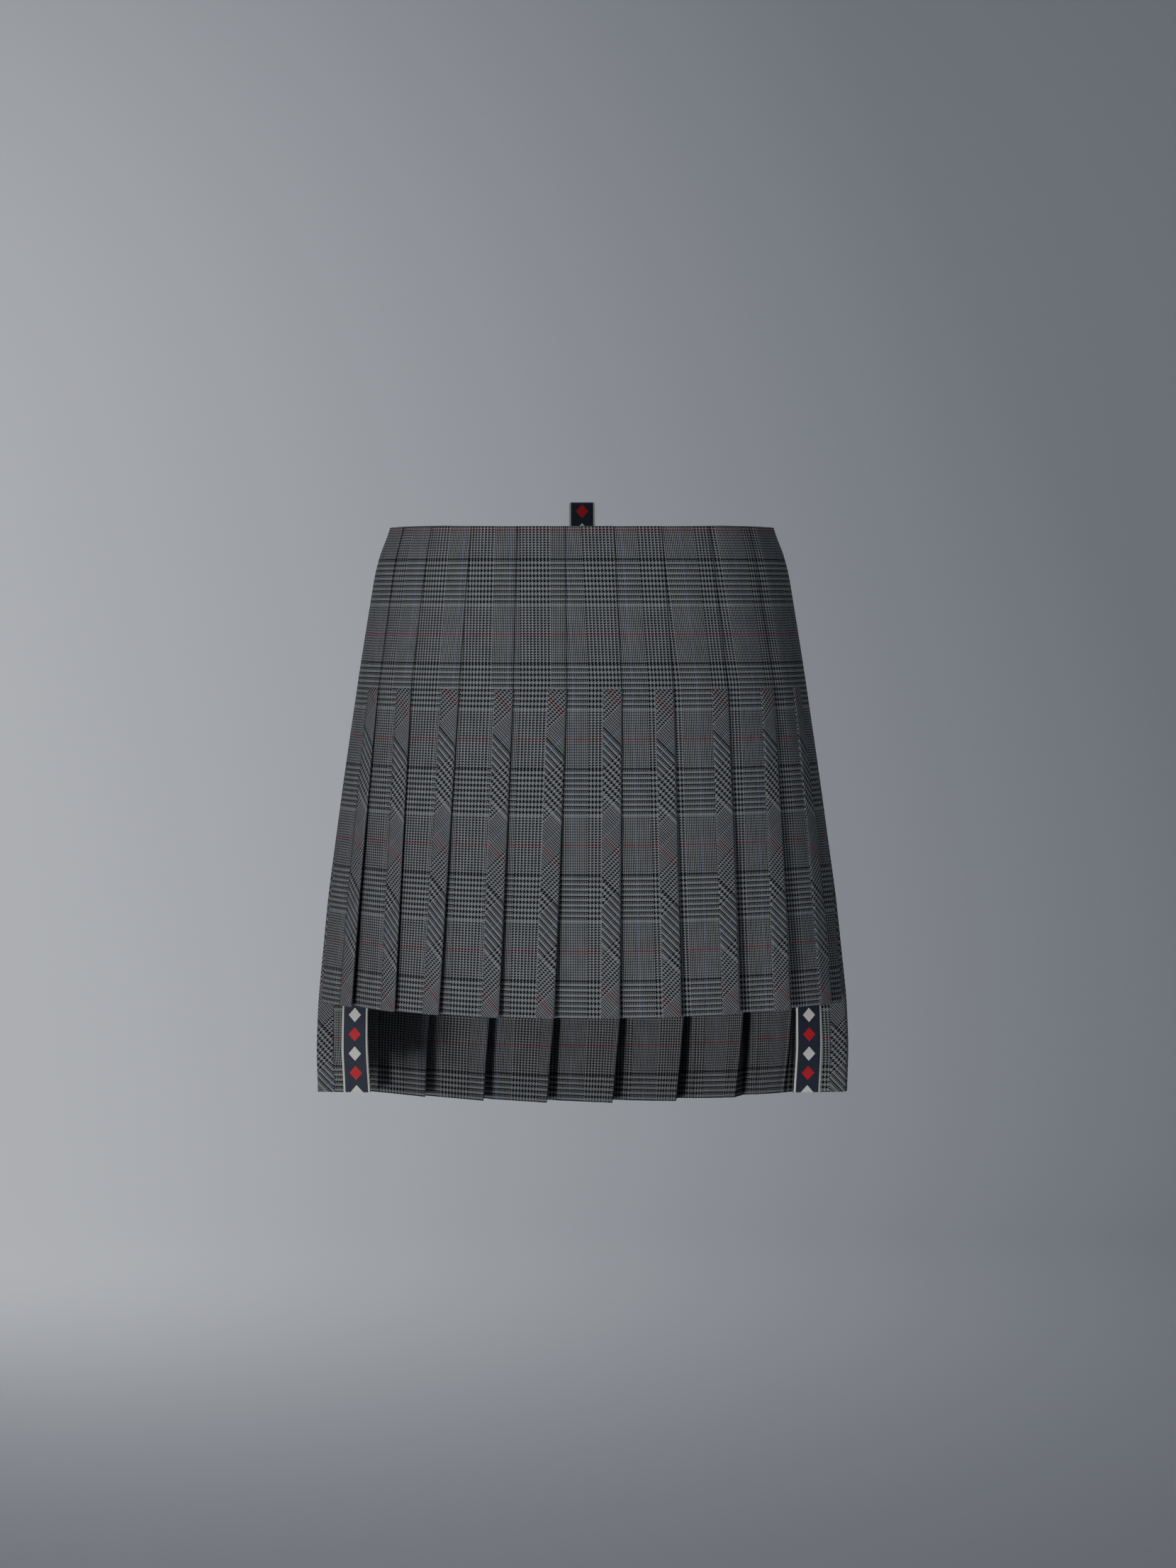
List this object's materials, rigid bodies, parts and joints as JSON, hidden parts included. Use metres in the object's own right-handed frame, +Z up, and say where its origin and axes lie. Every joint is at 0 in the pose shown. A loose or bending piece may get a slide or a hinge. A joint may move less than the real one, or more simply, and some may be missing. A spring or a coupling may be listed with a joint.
{
  "type": "pleated mini skirt",
  "caption": "Knife-pleated mini skirt in worn form, with a shorter front over side vents, bias strips along its folds, ribbon-edged vents and a hanging loop at the back.",
  "frame": {"origin": "middle of the waist opening, level with the top edge at the front", "axes": "+Z up out of the waist, -Y to the front, +X to the right as seen from the front"},
  "size_m": [0.3868, 0.2631, 0.4488],
  "materials": {
    "check_suiting": "wool twill suiting in a fine dark and light grey check",
    "bias_strip": "the same suiting cut on the bias",
    "ribbon": "navy ribbed ribbon with pale edges and woven lozenges",
    "facing": "smooth pale lining satin"
  },
  "bodies": {
    "root": {"front": "check_suiting", "back": "check_suiting", "front_strip_1": "bias_strip", "front_strip_2": "bias_strip", "front_strip_3": "bias_strip", "front_strip_4": "bias_strip", "front_strip_5": "bias_strip", "front_strip_6": "bias_strip", "front_strip_7": "bias_strip", "front_strip_8": "bias_strip", "front_strip_9": "bias_strip", "front_strip_10": "bias_strip", "back_strip_1": "bias_strip", "back_strip_2": "bias_strip", "back_strip_3": "bias_strip", "back_strip_4": "bias_strip", "back_strip_5": "bias_strip", "back_strip_6": "bias_strip", "back_strip_7": "bias_strip", "back_strip_8": "bias_strip", "back_strip_9": "bias_strip", "back_strip_10": "bias_strip", "right_vent_strip": "bias_strip", "left_vent_strip": "bias_strip", "right_vent_ribbon": "ribbon", "left_vent_ribbon": "ribbon", "waist_facing": "facing", "hanging_loop": "ribbon"}
  },
  "joints": []
}
